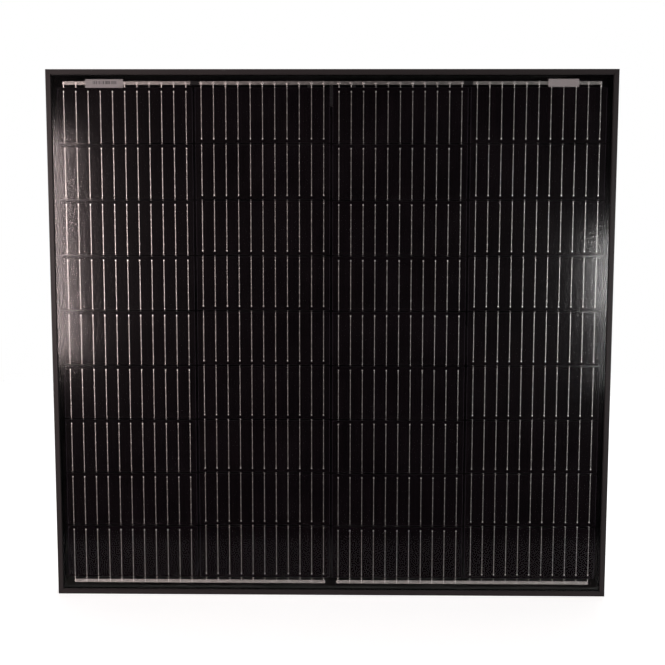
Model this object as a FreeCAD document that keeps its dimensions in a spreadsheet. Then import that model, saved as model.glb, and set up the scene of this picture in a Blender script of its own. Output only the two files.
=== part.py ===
"""Framed photovoltaic panel with 36 cut cells: laminate, mitred frame and rear junction box.

Frame of reference: X across the width, Z up the height, the glass faces -Y. The origin is the
centre of the rear mounting plane (y = 0), which is the centre of the four mounting slots.
Across a rail, "in" is measured from the frame's outer face towards the panel's middle.
"""
import FreeCAD, Part
import math
import os
import Sketcher

SIZES = {
    # How far a cutting tool runs past what it cuts
    "overcut": 1.0,
    # Frame
    "side_margin": 14.0,
    "end_margin": 23.2,
    "frame_depth": 30.0,
    "frame_wall": 1.6,
    "lip_width": 7.0,
    "lip_thick": 1.5,
    "edge_chamfer": 0.5,
    "chamber_width": 12.0,
    "chamber_depth": 12.5,
    "flange_width": 25.0,
    "flange_thick": 1.8,
    # Corner keys
    "key_arm": 42.0,
    "key_clearance": 0.15,
    "key_tip_chamfer": 2.0,
    # Holes in the rear flange
    "slot_width": 9.0,
    "slot_length": 14.0,
    "slot_inset": 14.0,
    "slot_spacing": 400.0,
    "ground_hole": 4.2,
    "ground_inset": 14.0,
    "ground_spacing": 300.0,
    "drain_length": 14.0,
    "drain_width": 3.0,
    "drain_from_end": 70.0,
    # Laminate, front to back
    "laminate_inset": 3.2,
    "front_seal": 0.5,
    "glass_thick": 3.2,
    "front_film": 0.45,
    "ribbon_thick": 0.25,
    "cell_thick": 0.2,
    "rear_film": 0.6,
    "backsheet_thick": 0.35,
    "rear_seal": 0.35,
    "seal_reach": 7.4,
    "film_margin": 4.0,
    # Cells and ribbons
    "cell_width": 182.0,
    "cell_height": 73.4,
    "row_gap": 2.0,
    "string_gap": 3.5,
    "ribbon_edge": 8.5,
    "ribbon_width": 0.9,
    "ribbon_inset": 4.2,
    "bend_margin": 0.2,
    # Busbars
    "bus_width": 4.5,
    "bus_from_cells": 3.7,
    "bus_overhang": 2.4,
    "bus_end_overhang": 0.6,
    "bus_tail": 6.0,
    # Front labels
    "serial_label_width": 51.0,
    "serial_label_height": 11.2,
    "serial_label_inset": 38.0,
    "serial_label_above_bus": 2.6,
    "name_label_width": 41.0,
    "name_label_height": 10.4,
    "name_label_inset": 38.0,
    "name_label_above_bus": 2.9,
    "label_thick": 0.15,
    # Rear label
    "rear_label_width": 100.0,
    "rear_label_height": 70.0,
    "rear_label_side": 210.0,
    "rear_label_below_top": 61.0,
    "label_corner": 2.0,
    # Output leads
    "lead_width": 4.0,
    "lead_thick": 0.2,
    "lead_gap": 0.05,
    "lead_tab": 5.0,
    "lead_slot_clearance": 0.5,
    "lead_spread": 30.0,
    "lead_exit_below_box_top": 12.0,
    "lead_tail": 9.0,
    # Junction box
    "box_width": 110.0,
    "box_height": 64.0,
    "box_below_frame_top": 36.0,
    "box_wall": 2.0,
    "box_floor": 2.0,
    "box_corner": 4.0,
    "box_base_depth": 16.2,
    "pad_thick": 0.5,
    "pad_inset": 3.0,
    "gasket_thick": 0.8,
    "gasket_inset": 0.4,
    "gasket_width": 1.2,
    "lid_thick": 2.5,
    "lid_corner": 4.0,
    "lid_rim_clearance": 0.4,
    "lid_rim_wall": 1.5,
    "lid_rim_depth": 2.0,
    "lid_tab_width": 14.0,
    "lid_tab_reach": 3.0,
    # Lid hinge
    "hinge_above_box": 3.2,
    "hinge_radius": 2.4,
    "pin_radius": 1.0,
    "pin_clearance": 0.08,
    "pin_overhang": 1.0,
    "lug_width": 6.0,
    "lug_gap": 0.5,
    "hinge_span": 76.0,
    "lug_depth": 8.0,
    # Terminals and diodes
    "terminal_width": 20.0,
    "terminal_height": 17.0,
    "terminal_thick": 1.0,
    "terminal_below_exit": 2.5,
    "barrel_radius": 2.6,
    "barrel_bore": 1.7,
    "barrel_length": 9.0,
    "barrel_overlap": 3.0,
    "diode_width": 9.0,
    "diode_height": 6.0,
    "diode_depth": 2.6,
    "diode_leg_width": 2.0,
    "diode_leg_thick": 0.5,
    "diode_leg_span": 28.0,
    "diode_drop": 9.0,
    # Cable glands, from the box wall outwards
    "gland_spread": 30.0,
    "gland_off_middle": 0.5,
    "gland_hole_radius": 6.05,
    "spigot_radius": 6.0,
    "spigot_proud": 0.2,
    "gland_hex": 15.0,
    "gland_hex_length": 3.5,
    "sleeve_radius": 5.5,
    "sleeve_length": 10.0,
    "gland_passage": 3.2,
    "pocket_radius": 4.2,
    "pocket_start": 2.0,
    "seal_clearance": 0.1,
    "seal_bore": 2.9,
    "seal_length": 6.4,
    "ring_length": 2.0,
    "ring_bore": 3.1,
    "ring_gap": 0.3,
    "nut_hex": 14.6,
    "nut_clearance": 0.15,
    "nut_cap": 2.0,
    "nut_gap": 1.5,
    "nut_hole": 3.3,
}

os.makedirs("parts", exist_ok=True)
doc = FreeCAD.newDocument("solar_panel")
sheet = doc.addObject("Spreadsheet::Sheet", "dim")
for row, (alias, size) in enumerate(SIZES.items(), start=1):
    sheet.set(f"A{row}", alias)
    sheet.set(f"B{row}", str(size))
    sheet.setAlias(f"B{row}", alias)
doc.recompute()

nodes = []


def read(expression):
    """The number that an expression on the sheet gives."""
    return float(sheet.evalExpression(expression))


def node(thing, name):
    """Marks a finished sub-part and gives it the name of its file."""
    thing.Label = name
    nodes.append(thing)
    return thing


def bind(thing, bindings):
    for prop, expression in bindings.items():
        thing.setExpression(prop, expression)


def place(thing, x="0", y="0", z="0"):
    for axis, expression in zip("xyz", (x, y, z)):
        thing.setExpression(f"Placement.Base.{axis}", expression)


def block(name, low, high):
    """A box between two corners, each given as three expressions."""
    thing = doc.addObject("Part::Box", name)
    for prop, start, end in zip(("Length", "Width", "Height"), low, high):
        thing.setExpression(prop, f"({end}) - ({start})")
    place(thing, *low)
    return thing


def rod(name, radius, length, x, y, z, along="z"):
    """A cylinder that starts at a point and runs along +X, +Y, +Z or -Z."""
    turns = {"x": ((0, 1, 0), 90), "y": ((1, 0, 0), -90), "z": ((0, 0, 1), 0), "-z": ((1, 0, 0), 180)}
    thing = doc.addObject("Part::Cylinder", name)
    axis, angle = turns[along]
    thing.Placement.Rotation = FreeCAD.Rotation(FreeCAD.Vector(*axis), angle)
    bind(thing, {"Radius": radius, "Height": length})
    place(thing, x, y, z)
    return thing


def drill(name, radius, length, x, y, z, along="z"):
    """A cutting rod, which runs past both ends of the stretch it is given."""
    start = {"x": x, "y": y, "z": z}
    turned = along.startswith("-")
    axis = along[-1]
    start[axis] = f"({start[axis]}) {'+' if turned else '-'} dim.overcut"
    return rod(name, radius, f"({length}) + 2 * dim.overcut", start["x"], start["y"], start["z"], along)


def fuse(name, *shapes):
    thing = doc.addObject("Part::MultiFuse", name)
    thing.Shapes = list(shapes)
    return thing


def cut(name, base, *tools):
    """The base less one tool, or less the union of several."""
    thing = doc.addObject("Part::Cut", name)
    thing.Base = base
    thing.Tool = tools[0] if len(tools) == 1 else fuse(f"{name}_tools", *tools)
    return thing


def group(name, things):
    thing = doc.addObject("Part::Compound", name)
    thing.Links = things
    return thing


def copy_of(name, master, x="0", y="0", z="0", turned=False):
    """A link to a master shape, moved, and if asked turned half round about Y."""
    thing = doc.addObject("App::Link", name)
    thing.LinkedObject = master
    thing.LinkTransform = True
    if turned:
        thing.Placement.Rotation = FreeCAD.Rotation(FreeCAD.Vector(0, 1, 0), 180)
    place(thing, x, y, z)
    return thing


def sketch_on(body, plane, name):
    """An empty sketch on one of the body's own origin planes."""
    sketch = body.newObject("Sketcher::SketchObject", name)
    support = [item for item in body.Origin.OriginFeatures if item.Role == plane][0]
    sketch.AttachmentSupport = [(support, "")]
    sketch.MapMode = "FlatFace"
    return sketch


def outline(sketch, points):
    """Closes straight lines through points whose coordinates are expressions."""
    first = sketch.GeometryCount
    count = len(points)
    spots = [FreeCAD.Vector(read(across), read(up), 0) for across, up in points]
    for i in range(count):
        sketch.addGeometry(Part.LineSegment(spots[i], spots[(i + 1) % count]), False)
    for i in range(count):
        following = first + (i + 1) % count
        sketch.addConstraint(Sketcher.Constraint("Coincident", first + i, 2, following, 1))
    for i, (across, up) in enumerate(points):
        for kind, value, expression in (("DistanceX", spots[i].x, across), ("DistanceY", spots[i].y, up)):
            index = sketch.addConstraint(Sketcher.Constraint(kind, first + i, 1, value))
            sketch.setExpression(f"Constraints[{index}]", expression)


def pad(body, sketch, length, symmetric=False):
    feature = body.newObject("PartDesign::Pad", f"{body.Name}_pad")
    feature.Profile = sketch
    if symmetric:
        feature.SideType = "Symmetric"
    feature.setExpression("Length", length)
    return feature


def pocket(body, sketch, name):
    """Cuts a sketch right through the body, both ways."""
    feature = body.newObject("PartDesign::Pocket", name)
    feature.Profile = sketch
    feature.Type = "ThroughAll"
    feature.SideType = "Symmetric"
    return feature


def rounded_plate(name, width, height, thick, corner):
    """A plate in XZ, centred on its own origin, from y = 0 towards +Y, with round corners."""
    body = doc.addObject("PartDesign::Body", name)
    sketch = sketch_on(body, "XZ_Plane", f"{name}_sketch")
    left, right = f"-({width}) / 2", f"({width}) / 2"
    low, high = f"-({height}) / 2", f"({height}) / 2"
    outline(sketch, [(left, low), (right, low), (right, high), (left, high)])
    plate = pad(body, sketch, thick)
    plate.Reversed = True
    doc.recompute()
    corners = body.newObject("PartDesign::Fillet", f"{name}_corners")
    upright = []
    for number, edge in enumerate(plate.Shape.Edges, start=1):
        ends = [vertex.Point for vertex in edge.Vertexes]
        if abs(ends[0].y - ends[1].y) > read(thick) / 2:
            upright.append(f"Edge{number}")
    corners.Base = (plate, upright)
    corners.setExpression("Radius", corner)
    return body


# Depths of the laminate's layers, each from the one before it
LIP_BACK = "(-dim.frame_depth + dim.lip_thick)"
GLASS_FRONT = f"({LIP_BACK} + dim.front_seal)"
FILM_FRONT = f"({GLASS_FRONT} + dim.glass_thick)"
RIBBON_FRONT = f"({FILM_FRONT} + dim.front_film)"
CELL_FRONT = f"({RIBBON_FRONT} + dim.ribbon_thick)"
CELL_BACK = f"({CELL_FRONT} + dim.cell_thick)"
RIBBON_BACK = f"({CELL_BACK} + dim.ribbon_thick)"
SHEET_FRONT = f"({RIBBON_BACK} + dim.rear_film)"
SHEET_BACK = f"({SHEET_FRONT} + dim.backsheet_thick)"
SHELF_FRONT = f"({SHEET_BACK} + dim.rear_seal)"
CHAMBER_BACK = f"({SHELF_FRONT} + dim.chamber_depth)"
FILM_MEET = f"(({CELL_FRONT} + {CELL_BACK}) / 2)"

# Places in the cell field, which sets the panel's size
ROWS = 9
COLUMNS = 4
RIBBONS = 11
RIBBON_PITCH = f"((dim.cell_width - 2 * dim.ribbon_edge) / {RIBBONS - 1})"
ROW_PITCH = "(dim.cell_height + dim.row_gap)"
COLUMN_PITCH = "(dim.cell_width + dim.string_gap)"
FIELD_TOP = f"(({ROWS} * {ROW_PITCH} - dim.row_gap) / 2)"
FIELD_SIDE = f"(({COLUMNS} * {COLUMN_PITCH} - dim.string_gap) / 2)"
BUS_LOW = f"({FIELD_TOP} + dim.bus_from_cells)"
BUS_HIGH = f"({BUS_LOW} + dim.bus_width)"
LAST = (RIBBONS - 1) // 2
OUTER_RIBBON = f"({RIBBON_PITCH} * {LAST})"
WIDTH = f"(2 * ({FIELD_SIDE} + dim.side_margin))"
HEIGHT = f"(2 * ({FIELD_TOP} + dim.end_margin))"

# ---------------------------------------------------------------- frame rails and corner keys
# The rail's section: local Y is the panel's depth, local Z is minus the distance in.
SECTION = [
    ("0", "0"),
    ("-dim.frame_depth + dim.edge_chamfer", "0"),
    ("-dim.frame_depth", "-dim.edge_chamfer"),
    ("-dim.frame_depth", "-dim.lip_width + dim.edge_chamfer"),
    ("-dim.frame_depth + dim.edge_chamfer", "-dim.lip_width"),
    (LIP_BACK, "-dim.lip_width"),
    (LIP_BACK, "-dim.frame_wall"),
    (SHELF_FRONT, "-dim.frame_wall"),
    (SHELF_FRONT, "-dim.chamber_width"),
    (CHAMBER_BACK, "-dim.chamber_width"),
    (CHAMBER_BACK, "-dim.frame_wall"),
    ("-dim.flange_thick", "-dim.frame_wall"),
    ("-dim.flange_thick", "-dim.flange_width"),
    ("0", "-dim.flange_width"),
]
CHAMBER = [
    (f"{SHELF_FRONT} + dim.frame_wall", "-dim.frame_wall"),
    (f"{SHELF_FRONT} + dim.frame_wall", "-dim.chamber_width + dim.frame_wall"),
    (f"{CHAMBER_BACK} - dim.frame_wall", "-dim.chamber_width + dim.frame_wall"),
    (f"{CHAMBER_BACK} - dim.frame_wall", "-dim.frame_wall"),
]


FLANGE_FRONT = "(-dim.flange_thick - dim.overcut)"


def slot_tools(name, spacing, inset):
    """Two slots along the rail, each a block with a round at both ends."""
    tools = []
    for side in (-1, 1):
        centre = f"({side} * {spacing} / 2)"
        half_flat = "(dim.slot_length - dim.slot_width) / 2"
        low = (f"{centre} - {half_flat}", FLANGE_FRONT, f"-{inset} - dim.slot_width / 2")
        high = (f"{centre} + {half_flat}", "dim.overcut", f"-{inset} + dim.slot_width / 2")
        tools.append(block(f"{name}_flat_{side + 2}", low, high))
        for end in (-1, 1):
            middle = f"{centre} + {end} * {half_flat}"
            tools.append(drill(f"{name}_end_{side + 2}_{end + 2}", "dim.slot_width / 2", "dim.flange_thick",
                               middle, "-dim.flange_thick", f"-{inset}", "y"))
    return tools


def hole_tools(name, radius, spacing, inset):
    """Two round holes through the flange."""
    return [drill(f"{name}_{side + 2}", radius, "dim.flange_thick", f"{side} * {spacing} / 2",
                  "-dim.flange_thick", f"-{inset}", "y") for side in (-1, 1)]


def drain_tools(name, length):
    """A notch through the outer wall near each end, where water leaves the channel."""
    tools = []
    for side in (-1, 1):
        centre = f"({side} * ({length} / 2 - dim.drain_from_end))"
        inner_edge = "-dim.flange_thick - dim.drain_width"
        low = (f"{centre} - dim.drain_length / 2", inner_edge, "-2 * dim.frame_wall")
        high = (f"{centre} + dim.drain_length / 2", "-dim.flange_thick", "dim.frame_wall")
        tools.append(block(f"{name}_drain_{side + 2}", low, high))
    return tools


def rail(name, length, angle, x, z, holes):
    """A mitred length of the frame's section, turned about Y to its side of the panel."""
    body = doc.addObject("PartDesign::Body", f"{name}_extrusion")
    section = sketch_on(body, "YZ_Plane", f"{name}_section")
    outline(section, SECTION)
    outline(section, CHAMBER)
    pad(body, section, length, symmetric=True)
    mitre = sketch_on(body, "XZ_Plane", f"{name}_mitre_sketch")
    reach = "(dim.flange_width * 2)"
    for side in (-1, 1):
        end = f"({side} * {length} / 2)"
        beyond = f"({end} + {side} * dim.frame_wall)"
        deep = f"-{reach}"
        outline(mitre, [(end, "0"), (f"{end} - {side} * {reach}", deep), (beyond, deep), (beyond, "0")])
    pocket(body, mitre, f"{name}_mitre")
    thing = cut(f"{name}_part", body, *holes, *drain_tools(name, length))
    thing.Placement.Rotation = FreeCAD.Rotation(FreeCAD.Vector(0, 1, 0), angle)
    place(thing, x, "0", z)
    return node(thing, name)


SLOTS = ("dim.slot_spacing", "dim.slot_inset")
GROUND = ("dim.ground_hole / 2", "dim.ground_spacing", "dim.ground_inset")
rail("frame_rail_top", WIDTH, 0, "0", f"{HEIGHT} / 2", slot_tools("slots_top", *SLOTS))
rail("frame_rail_bottom", WIDTH, 180, "0", f"-{HEIGHT} / 2", slot_tools("slots_bottom", *SLOTS))
rail("frame_rail_right", HEIGHT, 90, f"{WIDTH} / 2", "0", hole_tools("ground_right", *GROUND))
rail("frame_rail_left", HEIGHT, -90, f"-{WIDTH} / 2", "0", hole_tools("ground_left", *GROUND))


def corner_key(name, angle):
    """An L of solid aluminium that fills both rails' chambers at a corner, made for the top right one."""
    body = doc.addObject("PartDesign::Body", name)
    sketch = sketch_on(body, "XZ_Plane", f"{name}_sketch")
    outer = "(dim.frame_wall + dim.key_clearance)"
    inner = "(dim.chamber_width - dim.frame_wall - dim.key_clearance)"
    tip = "dim.key_tip_chamfer"
    arm = "dim.key_arm"
    corner = [
        (outer, outer), (outer, f"{arm} - {tip}"), (f"{outer} + {tip}", arm), (f"{inner} - {tip}", arm),
        (inner, f"{arm} - {tip}"), (inner, inner), (f"{arm} - {tip}", inner), (arm, f"{inner} - {tip}"),
        (arm, f"{outer} + {tip}"), (f"{arm} - {tip}", outer),
    ]
    across, up = (WIDTH, HEIGHT) if angle in (0, 180) else (HEIGHT, WIDTH)
    outline(sketch, [(f"{across} / 2 - ({x})", f"{up} / 2 - ({z})") for x, z in corner])
    front = f"({SHELF_FRONT} + dim.frame_wall + dim.key_clearance)"
    depth = "dim.chamber_depth - 2 * dim.frame_wall - 2 * dim.key_clearance"
    key = pad(body, sketch, depth)
    key.Reversed = True
    body.Placement.Rotation = FreeCAD.Rotation(FreeCAD.Vector(0, 1, 0), angle)
    place(body, "0", front, "0")
    return node(body, name)


CORNERS = {"top_right": 0, "bottom_right": 90, "bottom_left": 180, "top_left": 270}
for corner_name, corner_angle in CORNERS.items():
    corner_key(f"corner_key_{corner_name}", corner_angle)

# ---------------------------------------------------------------- laminate sheets and edge seal


def framed(inset, front, back):
    """Corners of a block over the whole panel, in from the frame's outer face."""
    low = (f"-{WIDTH} / 2 + {inset}", front, f"-{HEIGHT} / 2 + {inset}")
    high = (f"{WIDTH} / 2 - {inset}", back, f"{HEIGHT} / 2 - {inset}")
    return low, high


LAMINATE = "dim.laminate_inset"
node(block("glass_block", *framed(LAMINATE, GLASS_FRONT, FILM_FRONT)), "front_glass")

seal_outer = block("seal_outer", *framed("dim.frame_wall", LIP_BACK, SHELF_FRONT))
seal_ends = (f"{LIP_BACK} - dim.overcut", f"{SHELF_FRONT} + dim.overcut")
seal_window = block("seal_window", *framed("dim.seal_reach", *seal_ends))
seal_groove = block("seal_groove", *framed(LAMINATE, GLASS_FRONT, SHEET_BACK))
node(cut("seal_cut", seal_outer, seal_window, seal_groove), "edge_seal")


def cell_room(name, front, back):
    """The pocket in a film that holds the cells, ribbons and busbars."""
    side = f"({FIELD_SIDE} + dim.film_margin)"
    top = f"({BUS_HIGH} + dim.film_margin)"
    return block(name, (f"-{side}", front, f"-{top}"), (side, back, top))


LABEL_BACK = f"({FILM_FRONT} + dim.label_thick)"
serial_left = f"(-{FIELD_SIDE} + dim.serial_label_inset)"
serial_top = f"({BUS_HIGH} + dim.serial_label_above_bus)"
name_right = f"({FIELD_SIDE} - dim.name_label_inset)"
name_top = f"({BUS_HIGH} + dim.name_label_above_bus)"
serial_label = block("serial_block", (serial_left, FILM_FRONT, f"{serial_top} - dim.serial_label_height"),
                     (f"{serial_left} + dim.serial_label_width", LABEL_BACK, serial_top))
name_label = block("name_block", (f"{name_right} - dim.name_label_width", FILM_FRONT,
                                  f"{name_top} - dim.name_label_height"), (name_right, LABEL_BACK, name_top))
node(serial_label, "serial_label")
node(name_label, "name_label")

# The film is pressed round the labels and round the cell field.
front_film = block("front_film_sheet", *framed(LAMINATE, FILM_FRONT, FILM_MEET))
front_room = cell_room("front_room", RIBBON_FRONT, f"{FILM_MEET} + dim.overcut")
node(cut("front_film_cut", front_film, front_room, serial_label, name_label), "encapsulant_front")

# Places of the junction box and the leads that reach it
BOX_TOP = f"({HEIGHT} / 2 - dim.box_below_frame_top)"
BOX_BOTTOM = f"({BOX_TOP} - dim.box_height)"
BOX_MIDDLE = f"({BOX_TOP} - dim.box_height / 2)"
BASE_BACK = f"({SHEET_BACK} + dim.pad_thick)"
FLOOR_FRONT = f"({BASE_BACK} + dim.box_floor)"
BASE_RIM = f"({BASE_BACK} + dim.box_base_depth)"
LID_UNDER = f"({BASE_RIM} + dim.gasket_thick)"
LID_OUTER = f"({LID_UNDER} + dim.lid_thick)"
LEAD_EXIT = f"({BOX_TOP} - dim.lead_exit_below_box_top)"
LEAD_FRONT = f"({RIBBON_BACK} + dim.lead_gap)"
LEAD_BACK = f"({LEAD_FRONT} + dim.lead_thick)"
LEAD_LOW = f"(({BUS_LOW} + {BUS_HIGH}) / 2 - dim.lead_width / 2)"
LEAD_HIGH = f"({LEAD_LOW} + dim.lead_width)"
TERMINAL_FACE = f"({FLOOR_FRONT} + dim.terminal_thick)"
TOP_BUS_TAIL = f"({COLUMN_PITCH} * 1.5 - {OUTER_RIBBON} - dim.bus_tail)"
SLACK = "dim.lead_slot_clearance"


def drop_slots(name, front, back, low, high):
    """One upright slot for each of the three leads."""
    tools = []
    for side in (-1, 0, 1):
        middle = f"({side} * dim.lead_spread)"
        half = f"(dim.lead_width / 2 + {SLACK})"
        left, right = f"{middle} - {half}", f"{middle} + {half}"
        tools.append(block(f"{name}_{side + 2}", (left, front, low), (right, back, high)))
    return tools


rear_film = block("rear_film_sheet", *framed(LAMINATE, FILM_MEET, SHEET_FRONT))
rear_room = cell_room("rear_room", f"{FILM_MEET} - dim.overcut", RIBBON_BACK)
lead_reach = f"({TOP_BUS_TAIL} + dim.lead_tab + {SLACK})"
lead_run = block("lead_run_slot", (f"-{lead_reach}", RIBBON_BACK, f"{LEAD_LOW} - {SLACK}"),
                 (lead_reach, f"{SHEET_FRONT} + dim.overcut", f"{LEAD_HIGH} + {SLACK}"))
film_slots = drop_slots("film_slot", RIBBON_BACK, f"{SHEET_FRONT} + dim.overcut", f"{LEAD_EXIT} - {SLACK}",
                        LEAD_HIGH)
node(cut("rear_film_cut", rear_film, rear_room, lead_run, *film_slots), "encapsulant_rear")

backsheet = block("backsheet_sheet", *framed(LAMINATE, SHEET_FRONT, SHEET_BACK))
exit_low, exit_high = f"{LEAD_EXIT} - {SLACK}", f"{LEAD_EXIT} + dim.lead_thick + {SLACK}"
sheet_slots = drop_slots("sheet_slot", f"{SHEET_FRONT} - dim.overcut", f"{SHEET_BACK} + dim.overcut",
                         exit_low, exit_high)
node(cut("backsheet_cut", backsheet, *sheet_slots), "backsheet")

# ---------------------------------------------------------------- cells and their ribbons
cell = block("cell_master", ("-dim.cell_width / 2", CELL_FRONT, "-dim.cell_height / 2"),
             ("dim.cell_width / 2", CELL_BACK, "dim.cell_height / 2"))


def strip(name, points):
    """A ribbon one width wide, from its profile in depth and height."""
    body = doc.addObject("PartDesign::Body", name)
    sketch = sketch_on(body, "YZ_Plane", f"{name}_sketch")
    outline(sketch, points)
    pad(body, sketch, "dim.ribbon_width", symmetric=True)
    return body


# Heights in a row pitch: z = 0 is the upper cell's top edge.
CELL_FOOT = "(-dim.cell_height)"
NEXT_TOP = f"({CELL_FOOT} - dim.row_gap)"
NEXT_FOOT = f"({NEXT_TOP} - dim.cell_height)"
link_ribbon = strip("link_ribbon", [
    (RIBBON_FRONT, "-dim.ribbon_inset"),
    (RIBBON_FRONT, f"{CELL_FOOT} - dim.bend_margin"),
    (CELL_BACK, f"{NEXT_TOP} + dim.bend_margin"),
    (CELL_BACK, f"{NEXT_FOOT} + dim.ribbon_inset"),
    (RIBBON_BACK, f"{NEXT_FOOT} + dim.ribbon_inset"),
    (RIBBON_BACK, f"{NEXT_TOP} + dim.bend_margin"),
    (CELL_FRONT, f"{CELL_FOOT} - dim.bend_margin"),
    (CELL_FRONT, "-dim.ribbon_inset"),
])
end_ribbon = strip("end_ribbon", [
    (RIBBON_FRONT, "-dim.ribbon_inset"),
    (RIBBON_FRONT, f"{CELL_FOOT} - dim.bus_from_cells - dim.bus_width"),
    (CELL_FRONT, f"{CELL_FOOT} - dim.bus_from_cells - dim.bus_width"),
    (CELL_FRONT, "-dim.ribbon_inset"),
])
start_ribbon = strip("start_ribbon", [
    (CELL_BACK, "dim.bus_from_cells + dim.bus_width"),
    (CELL_BACK, f"{CELL_FOOT} + dim.ribbon_inset"),
    (RIBBON_BACK, f"{CELL_FOOT} + dim.ribbon_inset"),
    (RIBBON_BACK, "dim.bus_from_cells + dim.bus_width"),
])
for column in range(COLUMNS):
    centre = f"({COLUMN_PITCH} * ({column} - {(COLUMNS - 1) / 2}))"
    stem = f"string_{column + 1}"
    cells = []
    for row in range(ROWS):
        middle = f"{FIELD_TOP} - dim.cell_height / 2 - {row} * {ROW_PITCH}"
        cells.append(copy_of(f"{stem}_cell_{row + 1}", cell, centre, "0", middle))
    node(group(f"{stem}_cells", cells), f"cells_{stem}")
    turned = column % 2 == 1
    down = -1 if turned else 1
    ribbons = []
    for i in range(RIBBONS):
        across = f"{centre} + {RIBBON_PITCH} * {i - LAST}"
        masters = [start_ribbon] + [link_ribbon] * (ROWS - 1) + [end_ribbon]
        for k, master in enumerate(masters):
            row = max(k - 1, 0)
            top = f"{down} * ({FIELD_TOP} - {row} * {ROW_PITCH})"
            ribbons.append(copy_of(f"{stem}_ribbon_{i + 1}_{k}", master, across, "0", top, turned))
    node(group(f"{stem}_ribbons", ribbons), f"ribbons_{stem}")


def column_edge(column, side):
    """X of a column's outermost ribbon on one side, with columns counted from the middle."""
    return f"({COLUMN_PITCH} * {column} + {side} * {OUTER_RIBBON})"


OVER, END, TAIL = "dim.bus_overhang", "dim.bus_end_overhang", "dim.bus_tail"
BUSBARS = {
    "busbar_top_left": (1, f"{column_edge(-1.5, -1)} - {END}", f"{column_edge(-1.5, 1)} + {TAIL}"),
    "busbar_top_middle": (1, f"{column_edge(-0.5, -1)} - {OVER}", f"{column_edge(0.5, 1)} + {OVER}"),
    "busbar_top_right": (1, f"{column_edge(1.5, -1)} - {TAIL}", f"{column_edge(1.5, 1)} + {END}"),
    "busbar_bottom_left": (-1, f"{column_edge(-1.5, -1)} - {END}", f"{column_edge(-0.5, 1)} + {OVER}"),
    "busbar_bottom_right": (-1, f"{column_edge(0.5, -1)} - {OVER}", f"{column_edge(1.5, 1)} + {END}"),
}
for bus_name, (side, left, right) in BUSBARS.items():
    low, high = (BUS_LOW, BUS_HIGH) if side > 0 else (f"-{BUS_HIGH}", f"-{BUS_LOW}")
    node(block(f"{bus_name}_bar", (left, CELL_FRONT, low), (right, CELL_BACK, high)), bus_name)

# ---------------------------------------------------------------- rear label
rear_label = rounded_plate("rear_label_plate", "dim.rear_label_width", "dim.rear_label_height",
                           "dim.label_thick", "dim.label_corner")
rear_label_z = f"{HEIGHT} / 2 - dim.rear_label_below_top - dim.rear_label_height / 2"
place(rear_label, "dim.rear_label_side", SHEET_BACK, rear_label_z)
node(rear_label, "rear_label")

# ---------------------------------------------------------------- output leads
for side, lead_name in ((-1, "output_lead_left"), (0, "output_lead_middle"), (1, "output_lead_right")):
    middle = f"({side} * dim.lead_spread)"
    near, far = f"{middle} - dim.lead_width / 2", f"{middle} + dim.lead_width / 2"
    leaf_back = f"({TERMINAL_FACE} + dim.lead_thick)"
    tail_low = f"({LEAD_EXIT} - dim.lead_tail)"
    step = f"({LEAD_EXIT} + dim.lead_thick)"
    pieces = [
        block(f"{lead_name}_drop", (near, LEAD_FRONT, LEAD_EXIT), (far, LEAD_BACK, LEAD_HIGH)),
        block(f"{lead_name}_post", (near, LEAD_FRONT, LEAD_EXIT), (far, leaf_back, step)),
        block(f"{lead_name}_tail", (near, TERMINAL_FACE, tail_low), (far, leaf_back, step)),
    ]
    if side:
        # The tab is soldered behind the outer busbar's tail, and the run passes behind the middle busbar.
        tip = f"({side} * ({TOP_BUS_TAIL} + dim.lead_tab))"
        bend = f"({side} * {TOP_BUS_TAIL})"
        run_end = near if side > 0 else far
        tab = sorted((tip, bend), key=read)
        run = sorted((tip, run_end), key=read)
        tab_low, tab_high = (tab[0], CELL_BACK, LEAD_LOW), (tab[1], LEAD_BACK, LEAD_HIGH)
        run_low, run_high = (run[0], LEAD_FRONT, LEAD_LOW), (run[1], LEAD_BACK, LEAD_HIGH)
        pieces.append(block(f"{lead_name}_tab", tab_low, tab_high))
        pieces.append(block(f"{lead_name}_run", run_low, run_high))
    else:
        pieces.append(block(f"{lead_name}_tab", (near, CELL_BACK, LEAD_LOW), (far, LEAD_BACK, LEAD_HIGH)))
    node(fuse(f"{lead_name}_fuse", *pieces), lead_name)

# ---------------------------------------------------------------- junction box base and lid
pad_plate = rounded_plate("pad_plate", "dim.box_width - 2 * dim.pad_inset",
                          "dim.box_height - 2 * dim.pad_inset", "dim.pad_thick", "dim.box_corner")
place(pad_plate, "0", SHEET_BACK, BOX_MIDDLE)
pad_slots = drop_slots("pad_slot", f"{SHEET_BACK} - dim.overcut", f"{BASE_BACK} + dim.overcut",
                       exit_low, exit_high)
node(cut("pad_cut", pad_plate, *pad_slots), "junction_box_adhesive")

base_block = rounded_plate("base_block", "dim.box_width", "dim.box_height", "dim.box_base_depth",
                           "dim.box_corner")
place(base_block, "0", BASE_BACK, BOX_MIDDLE)
base_room = rounded_plate("base_room", "dim.box_width - 2 * dim.box_wall",
                          "dim.box_height - 2 * dim.box_wall", "dim.box_base_depth",
                          "dim.box_corner - dim.box_wall")
place(base_room, "0", FLOOR_FRONT, BOX_MIDDLE)
base_slots = drop_slots("base_slot", f"{BASE_BACK} - dim.overcut", f"{FLOOR_FRONT} + dim.overcut",
                        exit_low, exit_high)

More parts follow.
